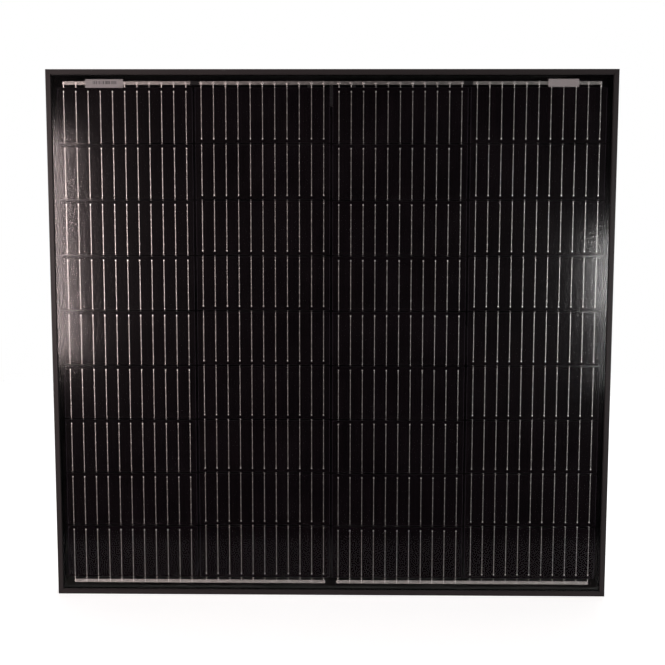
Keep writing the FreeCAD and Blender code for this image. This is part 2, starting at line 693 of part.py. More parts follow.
HINGE_Z = f"({BOX_TOP} + dim.hinge_above_box)"
HINGE_Y = f"(({LID_UNDER} + {LID_OUTER}) / 2)"
PIN_BORE = "(dim.pin_radius + dim.pin_clearance)"
LUG_START = "(dim.hinge_span / 2)"
LUG_END = f"({LUG_START} + dim.lug_width)"
lugs, lug_bores = [], []
for side in (-1, 1):
    start, end = sorted((f"{side} * {LUG_START}", f"{side} * {LUG_END}"), key=read)
    web_low = (start, f"{HINGE_Y} - dim.lug_depth", f"{BOX_TOP} - dim.box_wall / 2")
    web_high = (end, HINGE_Y, f"{HINGE_Z} + dim.hinge_radius")
    web = block(f"lug_web_{side + 2}", web_low, web_high)
    notch_low = (f"{start} - dim.overcut", f"{BASE_RIM}", f"{BOX_TOP} - dim.box_wall")
    notch_high = (f"{end} + dim.overcut", f"{HINGE_Y} + dim.overcut", f"{HINGE_Z} - dim.hinge_radius")
    notch = block(f"lug_notch_{side + 2}", notch_low, notch_high)
    eye = rod(f"lug_eye_{side + 2}", "dim.hinge_radius", "dim.lug_width", start, HINGE_Y, HINGE_Z, "x")
    lugs.append(fuse(f"lug_{side + 2}", cut(f"lug_web_cut_{side + 2}", web, notch), eye))
    lug_bores.append(drill(f"lug_bore_{side + 2}", PIN_BORE, "dim.lug_width", start, HINGE_Y, HINGE_Z, "x"))

GLAND_Y = f"({BASE_BACK} + dim.box_base_depth / 2 + dim.gland_off_middle)"
gland_holes = []
for side in (-1, 1):
    gland_holes.append(drill(f"gland_hole_{side + 2}", "dim.gland_hole_radius", "dim.box_wall",
                             f"{side} * dim.gland_spread", GLAND_Y, BOX_BOTTOM))
base_solid = fuse("base_solid", cut("base_shell", base_block, base_room), *lugs)
node(cut("base_cut", base_solid, *base_slots, *gland_holes, *lug_bores), "junction_box_base")

lid_plate = rounded_plate("lid_plate", "dim.box_width", "dim.box_height", "dim.lid_thick", "dim.lid_corner")
place(lid_plate, "0", LID_UNDER, BOX_MIDDLE)
knuckle_low = f"(-{LUG_START} + dim.lug_gap)"
knuckle_high = f"({LUG_START} - dim.lug_gap)"
knuckle_length = f"{knuckle_high} - {knuckle_low}"
knuckle = rod("lid_knuckle", "dim.hinge_radius", knuckle_length, knuckle_low, HINGE_Y, HINGE_Z, "x")
knuckle_web = block("lid_knuckle_web", (knuckle_low, LID_UNDER, f"{BOX_TOP} - dim.lid_corner"),
                    (knuckle_high, LID_OUTER, HINGE_Z))
knuckle_bore = drill("lid_knuckle_bore", PIN_BORE, knuckle_length, knuckle_low, HINGE_Y, HINGE_Z, "x")
lid_tab = block("lid_tab", ("-dim.lid_tab_width / 2", LID_UNDER, f"{BOX_BOTTOM} - dim.lid_tab_reach"),
                ("dim.lid_tab_width / 2", LID_OUTER, f"{BOX_BOTTOM} + dim.box_wall"))


def lid_ring(name, inset, wall, front, back):
    """A closed upright ring that follows the box, in by an inset from its outside."""
    outside = f"dim.box_width - 2 * ({inset})"
    tall = f"dim.box_height - 2 * ({inset})"
    depth = f"({back}) - ({front})"
    corner = "dim.box_corner / 2"
    outer = rounded_plate(f"{name}_outer", outside, tall, depth, corner)
    inner = rounded_plate(f"{name}_inner", f"{outside} - 2 * {wall}", f"{tall} - 2 * {wall}",
                          f"{depth} + 2 * dim.overcut", f"{corner} / 2")
    place(outer, "0", front, BOX_MIDDLE)
    place(inner, "0", f"{front} - dim.overcut", BOX_MIDDLE)
    return cut(name, outer, inner)


rim = lid_ring("lid_rim", "dim.box_wall + dim.lid_rim_clearance", "dim.lid_rim_wall",
               f"{BASE_RIM} - dim.lid_rim_depth", LID_UNDER)
lid_solid = fuse("lid_solid", lid_plate, rim, knuckle, knuckle_web, lid_tab)
node(cut("lid_cut", lid_solid, knuckle_bore), "junction_box_lid")
node(lid_ring("gasket_ring", "dim.gasket_inset", "dim.gasket_width", BASE_RIM, LID_UNDER), "lid_gasket")
pin_start = f"-{LUG_END} - dim.pin_overhang"
pin_length = f"2 * {LUG_END} + 2 * dim.pin_overhang"
node(rod("pin_rod", "dim.pin_radius", pin_length, pin_start, HINGE_Y, HINGE_Z, "x"), "lid_hinge_pin")

# ---------------------------------------------------------------- terminals and bypass diodes
PLATE_TOP = f"({LEAD_EXIT} - dim.terminal_below_exit)"
PLATE_LOW = f"({PLATE_TOP} - dim.terminal_height)"
for side, terminal_name in ((-1, "terminal_left"), (0, "terminal_middle"), (1, "terminal_right")):
    middle = f"({side} * dim.lead_spread)"
    plate = block(f"{terminal_name}_plate", (f"{middle} - dim.terminal_width / 2", FLOOR_FRONT, PLATE_LOW),
                  (f"{middle} + dim.terminal_width / 2", TERMINAL_FACE, PLATE_TOP))
    if not side:
        node(plate, terminal_name)
        continue
    barrel_low = f"{PLATE_LOW} + dim.barrel_overlap - dim.barrel_length"
    axis_y = f"{FLOOR_FRONT} + dim.barrel_radius"
    run = ("dim.barrel_length", middle, axis_y, barrel_low)
    barrel = rod(f"{terminal_name}_barrel", "dim.barrel_radius", *run)
    bore = drill(f"{terminal_name}_bore", "dim.barrel_bore", *run)
    node(cut(f"{terminal_name}_cut", fuse(f"{terminal_name}_fuse", plate, barrel), bore), terminal_name)

DIODE_Z = f"({PLATE_TOP} - dim.diode_drop)"
for side, diode_name in ((-1, "bypass_diode_left"), (1, "bypass_diode_right")):
    middle = f"({side} * dim.lead_spread / 2)"
    body_face = f"{FLOOR_FRONT} + dim.diode_depth"
    body_low = (f"{middle} - dim.diode_width / 2", FLOOR_FRONT, f"{DIODE_Z} - dim.diode_height / 2")
    body_high = (f"{middle} + dim.diode_width / 2", body_face, f"{DIODE_Z} + dim.diode_height / 2")
    legs_low = (f"{middle} - dim.diode_leg_span / 2", TERMINAL_FACE, f"{DIODE_Z} - dim.diode_leg_width / 2")
    legs_high = (f"{middle} + dim.diode_leg_span / 2", f"{TERMINAL_FACE} + dim.diode_leg_thick",
                 f"{DIODE_Z} + dim.diode_leg_width / 2")
    node(fuse(f"{diode_name}_fuse", block(f"{diode_name}_body", body_low, body_high),
              block(f"{diode_name}_legs", legs_low, legs_high)), diode_name)

# ---------------------------------------------------------------- cable glands, axis along Z, mouth down


def hexagon(name, flats, height, x, y, z):
    """A hexagonal prism that starts at z and runs down."""
    thing = doc.addObject("Part::Prism", name)
    thing.Polygon = 6
    bind(thing, {"Circumradius": f"{flats} / {math.sqrt(3)}", "Height": height})
    place(thing, x, y, f"{z} - ({height})")
    return thing


for side, side_name in ((-1, "left"), (1, "right")):
    x = f"({side} * dim.gland_spread)"
    hex_end = f"({BOX_BOTTOM} - dim.gland_hex_length)"
    stem = f"gland_{side_name}"
    spigot_length = "(dim.box_wall + dim.spigot_proud)"
    gland = fuse(
        f"{stem}_solid",
        rod(f"{stem}_spigot", "dim.spigot_radius", spigot_length, x, GLAND_Y, BOX_BOTTOM),
        hexagon(f"{stem}_hex", "dim.gland_hex", "dim.gland_hex_length", x, GLAND_Y, BOX_BOTTOM),
        rod(f"{stem}_sleeve", "dim.sleeve_radius", "dim.sleeve_length", x, GLAND_Y, hex_end, "-z"),
    )
    pocket_top = f"({hex_end} - dim.pocket_start)"
    inside_end = f"({BOX_BOTTOM} + {spigot_length})"
    passage_length = f"{inside_end} - {pocket_top}"
    passage = drill(f"{stem}_passage", "dim.gland_passage", passage_length, x, GLAND_Y, inside_end, "-z")
    pocket_length = "dim.sleeve_length - dim.pocket_start + dim.overcut"
    seal_pocket = rod(f"{stem}_pocket", "dim.pocket_radius", pocket_length, x, GLAND_Y, pocket_top, "-z")
    node(cut(f"{stem}_body", gland, passage, seal_pocket), f"gland_body_{side_name}")

    outer = "dim.pocket_radius - dim.seal_clearance"
    seal_run = ("dim.seal_length", x, GLAND_Y, pocket_top, "-z")
    seal = rod(f"{stem}_seal_outer", outer, *seal_run)
    seal_bore = drill(f"{stem}_seal_bore", "dim.seal_bore", *seal_run)
    node(cut(f"{stem}_seal", seal, seal_bore), f"gland_seal_{side_name}")

    ring_top = f"({pocket_top} - dim.seal_length - dim.ring_gap)"
    ring_run = ("dim.ring_length", x, GLAND_Y, ring_top, "-z")
    ring = rod(f"{stem}_ring_outer", outer, *ring_run)
    ring_bore = drill(f"{stem}_ring_bore", "dim.ring_bore", *ring_run)
    node(cut(f"{stem}_ring", ring, ring_bore), f"gland_ring_{side_name}")

    nut_top = f"({hex_end} - dim.nut_gap)"
    cap_top = f"({ring_top} - dim.ring_length)"
    room = f"({nut_top} - {cap_top})"
    nut = hexagon(f"{stem}_nut_hex", "dim.nut_hex", f"{room} + dim.nut_cap", x, GLAND_Y, nut_top)
    nut_room = rod(f"{stem}_nut_room", "dim.sleeve_radius + dim.nut_clearance", f"{room} + dim.overcut",
                   x, GLAND_Y, cap_top)
    nut_hole = drill(f"{stem}_nut_hole", "dim.nut_hole", "dim.nut_cap", x, GLAND_Y, cap_top, "-z")
    node(cut(f"{stem}_nut", nut, nut_room, nut_hole), f"gland_nut_{side_name}")

# ---------------------------------------------------------------- recompute, check and write
doc.recompute()
for thing in doc.Objects:
    faults = [state for state in thing.State if state in ("Invalid", "Error")]
    if faults:
        raise RuntimeError(f"{thing.Name} is {faults}")
for thing in nodes:
    shape = thing.Shape
    if shape.isNull() or not shape.isValid() or not shape.Solids:
        raise RuntimeError(f"{thing.Label} has no valid solid")
for thing in nodes:
    solids = thing.Shape.Solids
    whole = solids[0] if len(solids) == 1 else Part.makeCompound(solids)
    whole.exportStep(f"parts/{thing.Label}.step")
    print(f"{thing.Label}: {len(solids)} solids, {thing.Shape.Volume:.1f} mm3")
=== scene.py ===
"""Studio scene for the framed photovoltaic panel: finishes, solder, floor, lights and camera.

Units are metres in the part's own frame: X across, Z up, the glass faces -Y, and the rear
mounting plane is y = 0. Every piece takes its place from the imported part's boxes.
"""
import math

import bmesh
import bpy
from mathutils import Matrix, Quaternion, Vector


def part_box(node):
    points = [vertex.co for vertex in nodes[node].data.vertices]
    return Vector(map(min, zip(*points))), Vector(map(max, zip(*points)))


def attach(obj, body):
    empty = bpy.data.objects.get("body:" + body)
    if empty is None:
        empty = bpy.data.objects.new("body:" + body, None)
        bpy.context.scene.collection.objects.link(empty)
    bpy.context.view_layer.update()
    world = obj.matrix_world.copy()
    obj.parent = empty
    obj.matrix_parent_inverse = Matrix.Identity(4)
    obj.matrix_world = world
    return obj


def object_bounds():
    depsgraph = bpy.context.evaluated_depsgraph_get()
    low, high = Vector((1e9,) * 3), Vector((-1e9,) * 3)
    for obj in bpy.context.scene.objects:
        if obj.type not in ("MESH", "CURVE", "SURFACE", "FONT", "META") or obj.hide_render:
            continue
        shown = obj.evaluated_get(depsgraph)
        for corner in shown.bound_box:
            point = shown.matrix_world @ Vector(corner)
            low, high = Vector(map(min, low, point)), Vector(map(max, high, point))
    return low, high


MM = 0.001
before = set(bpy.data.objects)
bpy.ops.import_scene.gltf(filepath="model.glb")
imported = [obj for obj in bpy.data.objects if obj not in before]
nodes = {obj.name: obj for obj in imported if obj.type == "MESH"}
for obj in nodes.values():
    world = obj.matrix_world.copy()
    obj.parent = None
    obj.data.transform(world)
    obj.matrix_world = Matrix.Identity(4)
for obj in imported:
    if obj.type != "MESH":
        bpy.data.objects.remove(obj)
cad_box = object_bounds()

# ---------------------------------------------------------------- measures and shared colours
# Cells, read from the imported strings
STRINGS = range(1, 5)
ROWS = 9
ROW_GAP = 2.0 * MM
cells_low, cells_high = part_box("cells_string_1")
ROW_PITCH = (cells_high.z - cells_low.z + ROW_GAP) / ROWS
CELL_HEIGHT = ROW_PITCH - ROW_GAP
CELL_EDGE = 0.45 * MM
FINGER_PITCH = 1.15 * MM
FINGER_WIDTH = 0.08 * MM

# Ribbons, and the solder on them and on the busbars
RIBBONS = 11
RIBBON_WIDTH = 0.9 * MM
DOT_PITCH = 11.0 * MM
DOT_LENGTH = 1.3 * MM
DOT_FROM_CELL_EDGE = 5.7 * MM
END_DOT = (2.0 * MM, 2.1 * MM)
BUS_DOT = (4.0 * MM, 4.0 * MM)
PAD_SIDES = 10
PAD_HEIGHT = 0.30 * MM
# The pad's outline, from its base to its top: (share of its size, share of its thickness)
PAD_PROFILE = ((1.0, 0.0), (1.0, 0.6), (0.8, 1.0))

# Half the width of the dark line where two rails meet
MITRE_LINE = 0.35 * MM
# How far behind the front of the glass a face still counts as the front
GLASS_SKIN = 0.5 * MM
GLASS_IOR = 1.22

# The floor runs from just ahead of the panel to well behind it
FLOOR_FRONT = -0.30
FLOOR_BACK = 2.4
FLOOR_HALF = 2.2
FLOOR_GLOW = 0.66
# How bright the white backdrop is to everything but the camera
ROOM_LIGHT = 0.05

# Labels: the film's darker and lighter colours, its ink, and how many of the bar places stay bare
UNDER_GLASS = ((0.335, 0.312, 0.318), (0.385, 0.360, 0.368))
SILVER_FILM = ((0.60, 0.60, 0.61), (0.68, 0.68, 0.69))
INK = (0.05, 0.05, 0.055)
BARE_SHARE = 0.45
# Bands of bars: (left, right, low, high, bar pitch, ink), the first four as shares of the label
SERIAL_BARS = [(0.20, 0.84, 0.42, 0.80, 0.5 * MM, 0.75)]
RATING_BARS = [(0.08, 0.92, 0.84, 0.90, 200 * MM, 0.8)]
for line in range(7):
    line_low, line_high = 0.70 - 0.09 * line, 0.73 - 0.09 * line
    RATING_BARS.append((0.08, 0.44, line_low, line_high, 2.3 * MM, 0.7))
    RATING_BARS.append((0.52, 0.86, line_low, line_high, 3.1 * MM, 0.7))

WHITE = (1.0, 1.0, 1.0)
NEAR_WHITE = (1.0, 0.98, 0.98)
BLACK = (0.020, 0.020, 0.021)
CHARCOAL = (0.030, 0.030, 0.031)


# ---------------------------------------------------------------- node graphs
class Graph:
    """A material's node tree, with one short call for each kind of node."""

    def __init__(self, name):
        self.material = bpy.data.materials.new(name)
        self.material.use_nodes = True
        self.tree = self.material.node_tree
        self.tree.nodes.clear()
        self.place = self.add("ShaderNodeTexCoord").outputs["Object"]

    def add(self, kind, inputs=(), **settings):
        made = self.tree.nodes.new(kind)
        for name, value in settings.items():
            setattr(made, name, value)
        for key, value in dict(inputs).items():
            if isinstance(value, bpy.types.NodeSocket):
                self.tree.links.new(value, made.inputs[key])
            else:
                made.inputs[key].default_value = value
        return made

    def maths(self, operation, first, second=0.0):
        return self.add("ShaderNodeMath", {0: first, 1: second}, operation=operation).outputs[0]

    def axes(self):
        """The object-space x, y and z."""
        return self.add("ShaderNodeSeparateXYZ", {0: self.place}).outputs

    def stretch(self, scale):
        """Object space scaled by a factor for each axis."""
        return self.add("ShaderNodeMapping", {"Vector": self.place, "Scale": scale}).outputs[0]

    def noise(self, scale, detail=3.0, vector=None):
        inputs = {"Vector": vector or self.place, "Scale": scale, "Detail": detail}
        return self.add("ShaderNodeTexNoise", inputs).outputs["Fac"]

    def remap(self, value, low, high, new_low=0.0, new_high=1.0):
        """The value taken from one range to another, and held at its ends."""
        inputs = {0: value, 1: low, 2: high, 3: new_low, 4: new_high}
        return self.add("ShaderNodeMapRange", inputs).outputs[0]

    def between(self, value, low, high):
        """1 where the value is inside the range, and 0 outside."""
        above = self.maths("GREATER_THAN", value, low)
        return self.maths("MULTIPLY", above, self.maths("LESS_THAN", value, high))

    def blend(self, factor, first, second):
        """One colour turning into another."""
        made = self.add("ShaderNodeMix", data_type="RGBA")
        sockets = [s for s in made.inputs if s.enabled]
        for socket, value in zip(sockets, (factor, first, second)):
            if isinstance(value, bpy.types.NodeSocket):
                self.tree.links.new(value, socket)
            else:
                socket.default_value = value if socket.type == "VALUE" else (*value, 1.0)
        return next(s for s in made.outputs if s.enabled)

    def spread(self, noise, low, high):
        """A noise's usual values taken to a new range."""
        return self.remap(noise, 0.3, 0.7, low, high)

    def bump(self, height, distance, strength=1.0):
        inputs = {"Height": height, "Distance": distance, "Strength": strength}
        return self.add("ShaderNodeBump", inputs).outputs[0]

    def principled(self, colour, roughness, metallic=0.0, normal=None, specular=0.5):
        inputs = {"Base Color": colour if isinstance(colour, bpy.types.NodeSocket) else (*colour, 1.0),
                  "Roughness": roughness, "Metallic": metallic, "Specular IOR Level": specular}
        if normal:
            inputs["Normal"] = normal
        return self.add("ShaderNodeBsdfPrincipled", inputs).outputs[0]

    def transparent(self, colour):
        return self.add("ShaderNodeBsdfTransparent", {"Color": (*colour, 1.0)}).outputs[0]

    def mix(self, share, first, second):
        """The first shader, with a share of the second."""
        return self.add("ShaderNodeMixShader", {0: share, 1: first, 2: second}).outputs[0]

    def done(self, shader):
        self.add("ShaderNodeOutputMaterial", {"Surface": shader})
        return self.material


# ---------------------------------------------------------------- finishes
def anodised(name, grain):
    """Satin black anodised aluminium: extrusion lines along the rail and a dark line at each mitre."""
    g = Graph(name)
    lines = g.noise(1.0, 2.0, g.stretch(grain))
    clouds = g.noise(14.0, 4.0)
    colour = g.blend(clouds, (0.0140, 0.0104, 0.0108), (0.0200, 0.0150, 0.0156))
    x, _, z = g.axes().values()
    from_side = g.maths("SUBTRACT", cad_box[1].x, g.maths("ABSOLUTE", x))
    from_end = g.maths("SUBTRACT", cad_box[1].z, g.maths("ABSOLUTE", z))
    mitre = g.between(g.maths("SUBTRACT", from_side, from_end), -MITRE_LINE, MITRE_LINE)
    colour = g.blend(mitre, colour, (0.003, 0.003, 0.003))
    roughness = g.spread(lines, 0.42, 0.54)
    return g.done(g.principled(colour, roughness, 0.0, g.bump(lines, 0.02 * MM, 0.5), 0.26))


def solar_glass():
    """Low-iron glass with a pebbled, anti-reflection front. Only the front face shines."""
    g = Graph("solar_glass")
    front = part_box("front_glass")[0].y
    outside = g.maths("LESS_THAN", g.axes()["Y"], front + GLASS_SKIN)
    flatter_below = g.remap(g.axes()["Z"], cad_box[0].z, 0.0, 0.35, 1.0)
    pebbles = g.maths("MULTIPLY", g.noise(300.0, 1.0), flatter_below)
    height = g.maths("ADD", pebbles, g.noise(60.0, 2.0))
    inputs = {"Color": (*WHITE, 1.0), "Roughness": 0.105, "Normal": g.bump(height, 0.065 * MM)}
    gloss = g.add("ShaderNodeBsdfGlossy", inputs).outputs[0]
    fresnel = g.add("ShaderNodeFresnel", {"IOR": GLASS_IOR}).outputs[0]
    share = g.maths("MULTIPLY", fresnel, outside)
    return g.done(g.mix(share, g.transparent((0.985, 0.99, 0.988)), gloss))


def clear_film():
    """Cured encapsulant: clear, with a faint milky cloudiness."""
    g = Graph("clear_film")
    haze = g.remap(g.noise(22.0, 3.0), 0.35, 0.75, 0.0, 0.0022)
    milk = g.principled((0.78, 0.60, 0.70), 0.5)
    return g.done(g.mix(haze, g.transparent((0.99, 0.99, 0.985)), milk))


def silicon(name, low, high):
    """Coated black silicon: fine grid lines, faint saw marks and a paler cut edge on each cell, partly
    painted light.
    """
    g = Graph(name)
    x, _, z = g.axes().values()
    down = g.maths("MODULO", g.maths("SUBTRACT", high.z, z), ROW_PITCH)
    edges = g.maths("SUBTRACT", 1.0, g.between(down, CELL_EDGE, CELL_HEIGHT - CELL_EDGE))
    # Along the string's sides the pale edge is at full strength: partly the cut edge, partly painted light
    # standing in for the lit backsheet in the gaps between strings
    side_edges_and_painted_gap_light = g.maths("SUBTRACT", 1.0, g.between(x, low.x + CELL_EDGE, high.x - CELL_EDGE))
    edge = g.maths("MAXIMUM", g.maths("MULTIPLY", edges, 0.2), side_edges_and_painted_gap_light)
    fingers = g.maths("LESS_THAN", g.maths("MODULO", down, FINGER_PITCH), FINGER_WIDTH)
    marks = g.noise(1.0, 2.0, g.stretch((420.0, 1.0, 5.0)))
    clouds = g.noise(9.0, 3.0)
    base = g.blend(clouds, (0.0016, 0.0007, 0.0011), (0.0024, 0.0011, 0.0026))
    marked = g.blend(g.remap(marks, 0.45, 0.75, 0.0, 0.7), base, (0.0052, 0.0028, 0.0044))
    lined = g.blend(g.maths("MULTIPLY", fingers, 0.55), marked, (0.016, 0.014, 0.015))
    colour = g.blend(g.maths("MULTIPLY", edge, 0.7), lined, (0.050, 0.041, 0.056))
    roughness = g.spread(clouds, 0.34, 0.44)
    return g.done(g.principled(colour, roughness, 0.0, g.bump(marks, 0.01 * MM, 0.4), 0.02))


def tinned(name, base, dark, cells=None):
    """Tinned copper strip: satin, a little cloudy.

    A ribbon has solder dots along it, and past the ends of its cells its colour is paler, which is painted
    light.
    """
    g = Graph(name)
    clouds = g.noise(260.0, 3.0)
    colour = g.blend(g.remap(clouds, 0.35, 0.7), dark, base)
    if cells:
        z = g.axes()["Z"]
        along = g.maths("MODULO", g.maths("SUBTRACT", cells[1].z, z), DOT_PITCH)
        dot = g.between(along, 0.0, DOT_LENGTH)
        colour = g.blend(g.maths("MULTIPLY", dot, 0.8), colour, (0.66, 0.64, 0.63))
        # Painted light: past the ends of the cells the strip's colour is paler, standing in for light that
        # hardly reaches it there
        colour = g.blend(g.between(z, cells[0].z, cells[1].z), (0.90, 0.86, 0.85), colour)
    roughness = g.spread(clouds, 0.32, 0.44)
    return g.done(g.principled(colour, roughness, 0.9, g.bump(clouds, 0.03 * MM, 0.5)))


def sleeved_lead():
    """Tinned strip inside the box, and black insulation where it runs inside the laminate."""
    g = Graph("sleeved_lead")
    inside = g.maths("LESS_THAN", g.axes()["Y"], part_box("backsheet")[1].y)
    clouds = g.noise(260.0, 3.0)
    strip = g.blend(clouds, (0.62, 0.60, 0.60), (0.80, 0.78, 0.77))
    colour = g.blend(inside, strip, (0.006, 0.006, 0.007))
    metallic = g.remap(inside, 0.0, 1.0, 0.85, 0.0)
    return g.done(g.principled(colour, g.spread(clouds, 0.4, 0.55), metallic, None, 0.2))


def backsheet():
    """Laminated sheet: black towards the cells, white towards the rear."""
    g = Graph("backsheet")
    low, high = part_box("backsheet")
    rear = g.maths("GREATER_THAN", g.axes()["Y"], (low.y + high.y) / 2)
    weave = g.noise(700.0, 2.0)
    clouds = g.noise(6.0, 3.0)
    white = g.blend(clouds, (0.74, 0.74, 0.73), (0.80, 0.80, 0.79))
    black = g.blend(clouds, (0.0145, 0.0125, 0.0170), (0.0215, 0.0185, 0.0255))
    roughness = g.spread(weave, 0.42, 0.55)
    relief = g.bump(weave, 0.012 * MM, 0.6)
    return g.done(g.principled(g.blend(rear, black, white), roughness, 0.0, relief, 0.08))


def moulded(name, dark, light, grain, rough_low, rough_high, depth):
    """Moulded plastic or rubber with a spark-eroded grain."""
    g = Graph(name)
    texture = g.noise(grain, 2.0)
    clouds = g.noise(35.0, 3.0)
    roughness = g.spread(texture, rough_low, rough_high)
    return g.done(g.principled(g.blend(clouds, dark, light), roughness, 0.0, g.bump(texture, depth, 0.6)))


def metal(name, dark, light, scale, rough_low, rough_high):
    """Bare metal with fine lines or grain, whichever way the scale stretches them."""
    g = Graph(name)
    lines = g.noise(1.0, 3.0, g.stretch(scale))
    roughness = g.spread(lines, rough_low, rough_high)
    return g.done(g.principled(g.blend(lines, dark, light), roughness, 1.0, g.bump(lines, 0.02 * MM, 0.5)))


def printed_label(name, node_name, dark, light, bands):
    """Film printed with bands of plain bars, which stand for nothing."""
    g = Graph(name)
    low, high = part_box(node_name)
    x, _, z = g.axes().values()
    across = g.remap(x, low.x, high.x)
    up = g.remap(z, low.z, high.z)
    mottle = g.noise(500.0, 3.0)
    colour = g.blend(mottle, dark, light)
    for left, right, bottom, top, pitch, ink in bands:
        inside = g.maths("MULTIPLY", g.between(across, left, right), g.between(up, bottom, top))
        step = g.maths("FLOOR", g.maths("DIVIDE", x, pitch))
        bars = g.add("ShaderNodeTexWhiteNoise", {"W": step}, noise_dimensions="1D").outputs["Value"]
        bar = g.maths("MULTIPLY", inside, g.maths("GREATER_THAN", bars, BARE_SHARE))
        colour = g.blend(g.maths("MULTIPLY", bar, ink), colour, INK)
    roughness = g.spread(mottle, 0.45, 0.6)
    return g.done(g.principled(colour, roughness, 0.0, g.bump(mottle, 0.01 * MM, 0.4)))


def pale_floor():
    """Matt pale floor, which fades into the white backdrop towards its edges."""
    g = Graph("pale_floor")
    speckle = g.noise(90.0, 3.0)
    x, y, _ = g.axes().values()
    colour = g.blend(speckle, (0.86, 0.86, 0.86), (0.90, 0.90, 0.90))
    side = g.remap(g.maths("ABSOLUTE", x), FLOOR_HALF * 0.55, FLOOR_HALF * 0.95, 1.0, 0.0)
    behind = g.remap(y, FLOOR_BACK * 0.55, FLOOR_BACK * 0.95, 1.0, 0.0)
    ahead = g.remap(y, FLOOR_FRONT, FLOOR_FRONT * 0.8, 0.0, 1.0)
    shown = g.maths("MULTIPLY", g.maths("MULTIPLY", side, behind), ahead)
    matt = g.principled(colour, 0.8, 0.0, None, 0.2)
    seen = g.maths("MULTIPLY", g.add("ShaderNodeLightPath").outputs["Is Camera Ray"], FLOOR_GLOW)
    glow = g.add("ShaderNodeEmission", {"Color": (*WHITE, 1.0), "Strength": seen}).outputs[0]
    lit = g.add("ShaderNodeAddShader", {0: matt, 1: glow}).outputs[0]
    return g.done(g.mix(shown, g.transparent(WHITE), lit))


finishes = {
    "rail_across": anodised("anodised_across", (3.0, 900.0, 900.0)),
    "rail_upright": anodised("anodised_upright", (900.0, 900.0, 3.0)),
    "key": metal("cast_key", (0.60, 0.60, 0.61), (0.74, 0.74, 0.75), (220.0, 220.0, 220.0), 0.45, 0.6),
    "glass": solar_glass(),
    "film": clear_film(),
    "backsheet": backsheet(),
    # Both busbars are one tinned copper in two copies: the lower copy's paler colour is painted light from
    # the floor close beneath it, and the upper copy is darker
    "busbar_top": tinned("busbar_darker_copy", (0.27, 0.255, 0.252), (0.21, 0.20, 0.197)),
    "busbar_bottom": tinned("busbar_painted_floor_light", (0.57, 0.54, 0.535), (0.46, 0.44, 0.435)),
    "lead": sleeved_lead(),
    "end_dot": tinned("bright_solder", (0.74, 0.71, 0.70), (0.62, 0.59, 0.58)),
    "bus_dot": tinned("dull_solder", (0.50, 0.475, 0.47), (0.42, 0.40, 0.395)),
    "terminal": metal("terminal_metal", (0.60, 0.50, 0.38), (0.72, 0.62, 0.50), (90.0, 90.0, 900.0),
                      0.28, 0.42),
    "pin": metal("pin_metal", (0.55, 0.55, 0.55), (0.68, 0.68, 0.68), (2500.0, 60.0, 60.0), 0.2, 0.34),
    "sealant": moulded("black_silicone", (0.008, 0.007, 0.008), (0.013, 0.012, 0.013), 260.0,
                       0.45, 0.6, 0.05 * MM),
    "adhesive": moulded("foam_pad", (0.66, 0.66, 0.64), (0.76, 0.76, 0.74), 900.0, 0.7, 0.9, 0.08 * MM),
    "box": moulded("box_plastic", BLACK, CHARCOAL, 1100.0, 0.42, 0.58, 0.04 * MM),
    "gland": moulded("gland_nylon", BLACK, CHARCOAL, 1600.0, 0.34, 0.48, 0.02 * MM),
    "rubber": moulded("seal_rubber", (0.036, 0.036, 0.038), (0.050, 0.050, 0.052), 800.0,
                      0.6, 0.78, 0.03 * MM),
    "diode": moulded("diode_epoxy", (0.018, 0.018, 0.018), (0.026, 0.026, 0.026), 900.0,
                     0.38, 0.5, 0.02 * MM),
    "serial": printed_label("serial_print", "serial_label", *UNDER_GLASS, SERIAL_BARS),
    "name": printed_label("name_print", "name_label", *UNDER_GLASS, []),
    "rating": printed_label("rating_print", "rear_label", *SILVER_FILM, RATING_BARS),
}
# The finish for each node whose name starts so. The first that fits is used.
KIND_OF = {
    "frame_rail_top": "rail_across", "frame_rail_bottom": "rail_across",
    "frame_rail_left": "rail_upright", "frame_rail_right": "rail_upright",
    "corner_key": "key", "front_glass": "glass", "encapsulant": "film", "edge_seal": "sealant",
    "backsheet": "backsheet", "busbar_top": "busbar_top", "busbar_bottom": "busbar_bottom",
    "output_lead": "lead", "terminal": "terminal",
    "lid_hinge_pin": "pin", "junction_box_adhesive": "adhesive", "junction_box": "box",
    "lid_gasket": "rubber", "gland_seal": "rubber", "gland": "gland", "bypass_diode": "diode",
    "serial_label": "serial", "name_label": "name", "rear_label": "rating",
}


def dress(name, finish):
    """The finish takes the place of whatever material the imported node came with."""
    slots = nodes[name].data.materials
    slots.clear()
    slots.append(finish)


for name in nodes:
    kinds = [kind for start, kind in KIND_OF.items() if name.startswith(start)]
    if kinds:
        dress(name, finishes[kinds[0]])
for string in STRINGS:
    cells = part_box(f"cells_string_{string}")
    dress(f"cells_string_{string}", silicon(f"silicon_{string}", *cells))
    ribbon = tinned(f"tinned_ribbon_{string}", (0.36, 0.345, 0.34), (0.28, 0.268, 0.265), cells)
    dress(f"ribbons_string_{string}", ribbon)


# ---------------------------------------------------------------- solder on the ribbons' ends and the busbars
def solder_pad(mesh, x, z, width, height, back):
    """A flat oval of solder with a rounded rim, on a surface that faces -Y."""
    rings = []
    for share, rise in PAD_PROFILE:
        ring = []
        for k in range(PAD_SIDES):
            turn = 2 * math.pi * k / PAD_SIDES
            along = x + share * width / 2 * math.cos(turn)
            up = z + share * height / 2 * math.sin(turn)
            ring.append(mesh.verts.new((along, back - rise * PAD_HEIGHT, up)))
        rings.append(ring)
    for lower, upper in zip(rings, rings[1:]):
        for k in range(PAD_SIDES):
            after = (k + 1) % PAD_SIDES
            mesh.faces.new((lower[k], lower[after], upper[after], upper[k]))
    mesh.faces.new(rings[-1])
    mesh.faces.new(reversed(rings[0]))


